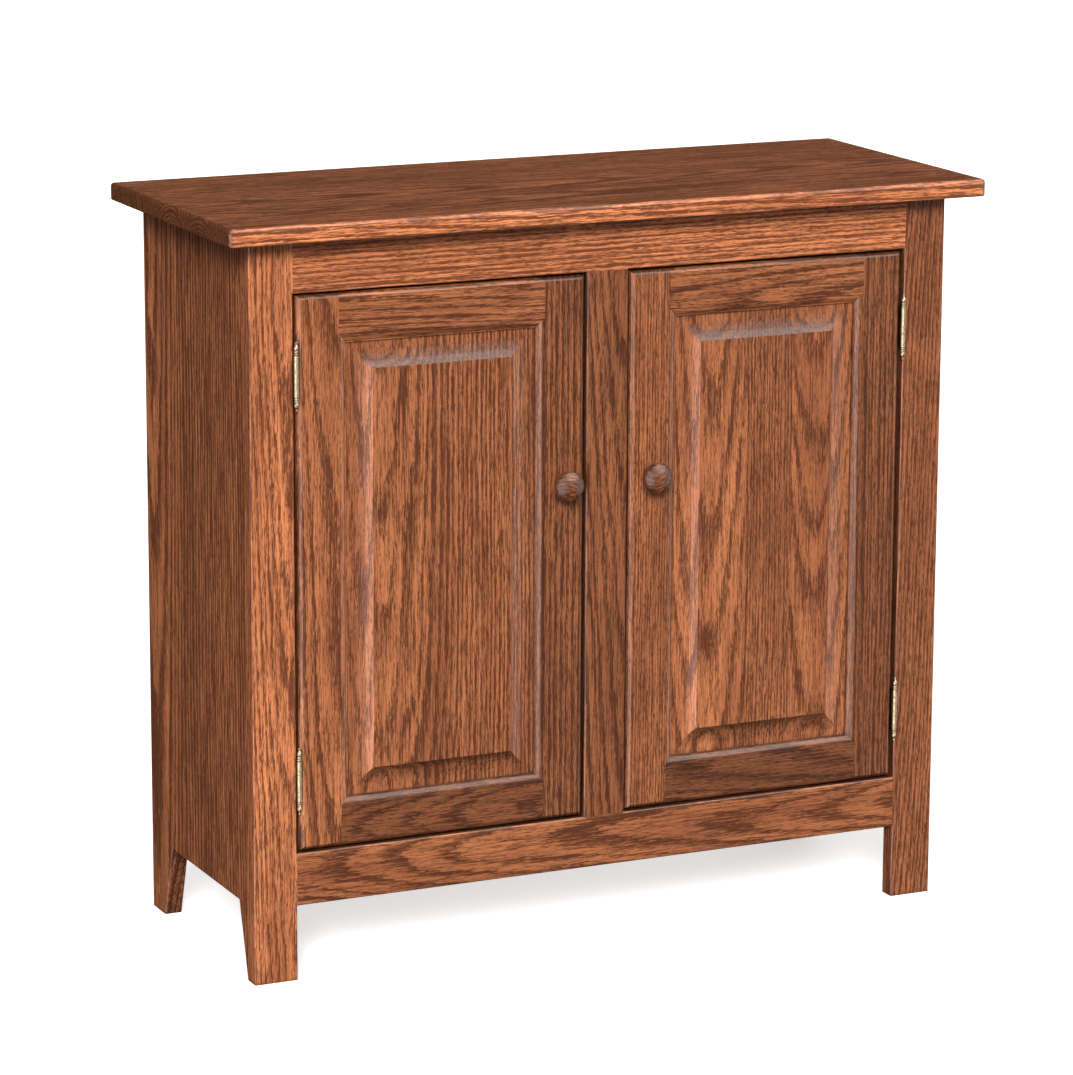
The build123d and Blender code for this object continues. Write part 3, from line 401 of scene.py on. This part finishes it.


# ---------------------------------------------------------------- which board is cut how
# Each board: the axis of its grain, the axis that its face looks along, its staves, how much its rings
# wander, its seed, and where it is given, the painted light on its slanted faces as a brightness factor.
BOARDS = {
    "top_board": (X, Z, [
        flat(0.3, 0.03, -0.06, 1.1, 0.0045, 0.03, contrast=1.5),
        flat(0.38, -0.01, -0.05, 1.12, 0.005, 0.04, contrast=1.5),
        rift(0.32, 0.1, -0.05, 1.16, 0.0045, contrast=1.5)], 0.9, 11, 1.6),
    "side_panel_left": (Z, X, [
        rift(0.34, -0.11, 0.05, 1.2, 0.0055, contrast=1.6),
        rift(0.3, 0.1, 0.06, 1.14, 0.0065, contrast=1.6),
        flat(0.36, 0.03, 0.07, 1.2, 0.0065, 0.02, contrast=1.6)], 0.5, 12),
    "side_panel_right": (Z, X, [
        flat(0.4, 0.0, -0.07, 0.95, 0.0055, 0.04, contrast=0.9),
        rift(0.3, 0.1, -0.05, 0.9, contrast=0.9),
        rift(0.3, -0.1, -0.05, 0.95, contrast=0.9)], 0.7, 13),
    "frame_stile_left": (Z, Y, [flat(1.0, 0.022, 0.035, 1.36, 0.0034, 0.018, 0.01)], 0.9, 21),
    "frame_stile_right": (Z, Y, [rift(1.0, -0.06, 0.05, 0.84, 0.0036, 0.03, -0.02, 0.9)], 0.7, 22),
    "frame_mullion": (Z, Y, [flat(1.0, 0.03, 0.05, 0.64, 0.0055, 0.035, 0.02)], 0.9, 23),
    "frame_top_rail": (X, Y, [rift(1.0, -0.09, 0.03, 1.56, 0.005, 0.01, 0.0)], 0.35, 24),
    "frame_bottom_rail": (X, Y, [flat(1.0, 0.006, 0.045, 0.86, 0.0052, 0.05)], 1.3, 25),
    "door_hinge_stile_left": (Z, Y, [flat(1.0, 0.02, 0.045, 1.0, 0.0068, 0.035)], 1.0, 31),
    "door_latch_stile_left": (Z, Y, [rift(1.0, -0.13, 0.05, 0.65, 0.0064, 0.004)], 0.2, 32),
    "door_top_rail_left": (X, Y, [flat(1.0, 0.03, 0.03, 0.9, 0.0052, 0.03)], 0.6, 33),
    "door_bottom_rail_left": (X, Y, [flat(1.0, -0.01, 0.05, 0.45, 0.0042, 0.04, contrast=0.8)], 0.8, 34),
    "door_panel_left": (Z, Y, [
        flat(0.3, 0.01, 0.07, 0.92, 0.0042, 0.035, -0.01, 0.85),
        flat(0.7, -0.085, 0.05, 0.9, 0.0048, 0.035, 0.012, band=0.95)], 0.6, 35, 1.3),
    "door_hinge_stile_right": (Z, Y, [rift(1.0, 0.1, 0.05, 0.64, 0.0042, 0.006, 0.0, 0.95)], 0.3, 41),
    "door_latch_stile_right": (Z, Y, [rift(1.0, -0.1, 0.03, 0.84, 0.0031, 0.004, 0.0, 0.9)], 0.3, 42),
    "door_top_rail_right": (X, Y, [flat(1.0, -0.012, 0.03, 0.78, 0.0062, 0.06, 0.05)], 0.7, 43),
    "door_bottom_rail_right": (X, Y, [flat(1.0, 0.012, 0.05, 0.43, 0.006, 0.05, contrast=0.85)], 0.9, 44),
    "door_panel_right": (Z, Y, [
        flat(0.4, 0.005, 0.07, 0.97, 0.0056, 0.04, 0.0, 0.9),
        rift(0.24, -0.1, 0.05, 0.8, 0.0034, 0.01, 0.0, 0.8),
        flat(0.36, -0.01, 0.08, 0.92, 0.0046, 0.045, 0.0, 0.85)], 0.7, 45, 1.3),
    "door_knob_left": (X, Y, [rift(1.0, 0.045, 0.05, 0.9, 0.003, 0.35)], 0.3, 51),
    "door_knob_right": (X, Y, [rift(1.0, -0.04, 0.05, 0.85, 0.003, 0.3)], 0.3, 52),
    "bottom_panel": (X, Z, [flat(0.4, 0.0, -0.06, 0.95), rift(0.6, 0.1, -0.05)], 0.7, 61),
    "back_panel": (Z, Y, [
        flat(0.25, 0.0, 0.05, 0.9, 0.006, 0.06, contrast=0.7),
        flat(0.25, 0.01, 0.05, 0.94, 0.006, 0.05, contrast=0.7),
        flat(0.25, 0.0, 0.05, 0.9, 0.006, 0.06, contrast=0.7),
        flat(0.25, -0.01, 0.05, 0.93, 0.006, 0.05, contrast=0.7)], 1.2, 62),
    "back_top_rail": (X, Y, [rift(1.0, 0.1, 0.05, 0.95)], 0.5, 63),
    "top_cleat_left": (Y, X, [rift(1.0, 0.1, 0.05, 0.95)], 0.5, 64),
    "top_cleat_right": (Y, X, [rift(1.0, -0.1, 0.05, 0.95)], 0.5, 65),
    "shelf": (X, Z, [flat(0.5, 0.02, -0.06), rift(0.5, -0.1, -0.05, 0.96)], 0.7, 66),
    "catch_block": (X, Z, [rift(1.0, 0.1, -0.05, 0.95)], 0.5, 67),
}


def dress(node, material):
    for slot in NODES[node].material_slots:
        slot.material = material


def dress_boards():
    for node, (grain, face, *cut) in BOARDS.items():
        dress(node, oak("oak_" + node, node, grain, face, *cut))


def dress_hardware():
    brass = metal("antique_brass", BRASS, BRASS_DARK, BRASS_ROUGH)
    steel = metal("zinc_steel", STEEL, STEEL_DARK, STEEL_ROUGH)
    case = plastic("catch_plastic", PLASTIC)
    for node in NODES:
        if node.startswith(("hinge_", "door_hinge_screws")):
            dress(node, brass)
        elif node.startswith("catch_housing"):
            dress(node, case)
        elif any(word in node for word in STEEL_WORDS):
            dress(node, steel)


# ---------------------------------------------------------------- stage
def look_matrix(place, forward, right):
    """A camera's or light's matrix: it looks along forward, with right to its right."""
    back = -forward.normalized()
    side = (right - right.dot(back) * back).normalized()
    up = back.cross(side)
    matrix = Matrix((side, up, back)).transposed().to_4x4()
    matrix.translation = place
    return matrix


def make_camera():
    data = bpy.data.cameras.new("camera")
    data.lens = CAMERA_LENS
    data.sensor_width = SENSOR_WIDTH
    camera = bpy.data.objects.new("camera", data)
    camera.matrix_world = look_matrix(CAMERA_PLACE, CAMERA_FORWARD, CAMERA_RIGHT)
    bpy.context.scene.collection.objects.link(camera)
    bpy.context.scene.camera = camera


def make_sun(sun):
    """Even light from one direction, as from a large soft box. Reflections don't show it."""
    data = bpy.data.lights.new(sun.name, "SUN")
    data.angle = math.radians(sun.spread)
    data.energy = sun.strength
    light = bpy.data.objects.new(sun.name, data)
    light.matrix_world = look_matrix(sun.toward * SUN_DISTANCE, -sun.toward, SUN_RIGHT)
    light.visible_glossy = False
    bpy.context.scene.collection.objects.link(light)


def make_room():
    """A white backdrop, even light on matt surfaces, and darkness with a few soft boxes in reflections."""
    world = bpy.data.worlds.new("world")
    world.use_nodes = True
    tree = world.node_tree
    links = tree.links

    def math_node(operation, first, second):
        node = tree.nodes.new("ShaderNodeMath")
        node.operation = operation
        for socket, value in zip(node.inputs, (first, second)):
            if isinstance(value, float):
                socket.default_value = value
            else:
                links.new(value, socket)
        return node.outputs[0]

    def chosen(factor, first, second):
        """first where the factor is 0, second where it is 1."""
        difference = math_node("SUBTRACT", second, first)
        return math_node("ADD", math_node("MULTIPLY", difference, factor), first)

    direction = tree.nodes.new("ShaderNodeTexCoord").outputs["Generated"]
    gloss = ROOM_GLOSS
    for box in SOFT_BOXES:
        beside = tree.nodes.new("ShaderNodeVectorMath")
        beside.operation = "DOT_PRODUCT"
        links.new(direction, beside.inputs[0])
        beside.inputs[1].default_value = Vector(box.toward).normalized()
        glow = tree.nodes.new("ShaderNodeMapRange")
        glow.interpolation_type = "SMOOTHSTEP"
        links.new(beside.outputs["Value"], glow.inputs["Value"])
        glow.inputs["From Min"].default_value = box.edge
        glow.inputs["From Max"].default_value = box.full
        glow.inputs["To Max"].default_value = box.strength
        gloss = math_node("ADD", glow.outputs[0], gloss)

    ray = tree.nodes.new("ShaderNodeLightPath")
    lit = chosen(ray.outputs["Is Glossy Ray"], ROOM_LIGHT, gloss)
    shown = chosen(ray.outputs["Is Camera Ray"], lit, BACKDROP_SHOWN)
    # only rays that bounce off a surface may find this light, or reflections would see the matt light too
    world.cycles.sampling_method = "NONE"
    background = tree.nodes["Background"]
    background.inputs["Color"].default_value = WHITE
    links.new(shown, background.inputs["Strength"])
    bpy.context.scene.world = world


def make_stage():
    bpy.ops.mesh.primitive_plane_add(size=FLOOR_SIZE, location=(0.0, 0.0, 0.0))
    floor = bpy.context.object
    floor.name = "floor"
    floor.data.materials.append(floor_paper())
    # the floor would wash out the wood from below
    floor.visible_diffuse = False
    floor.visible_glossy = False
    make_room()
    for sun in SUNS:
        make_sun(sun)


dress_boards()
dress_hardware()
make_stage()
make_camera()
bpy.context.scene.view_settings.view_transform = "Standard"
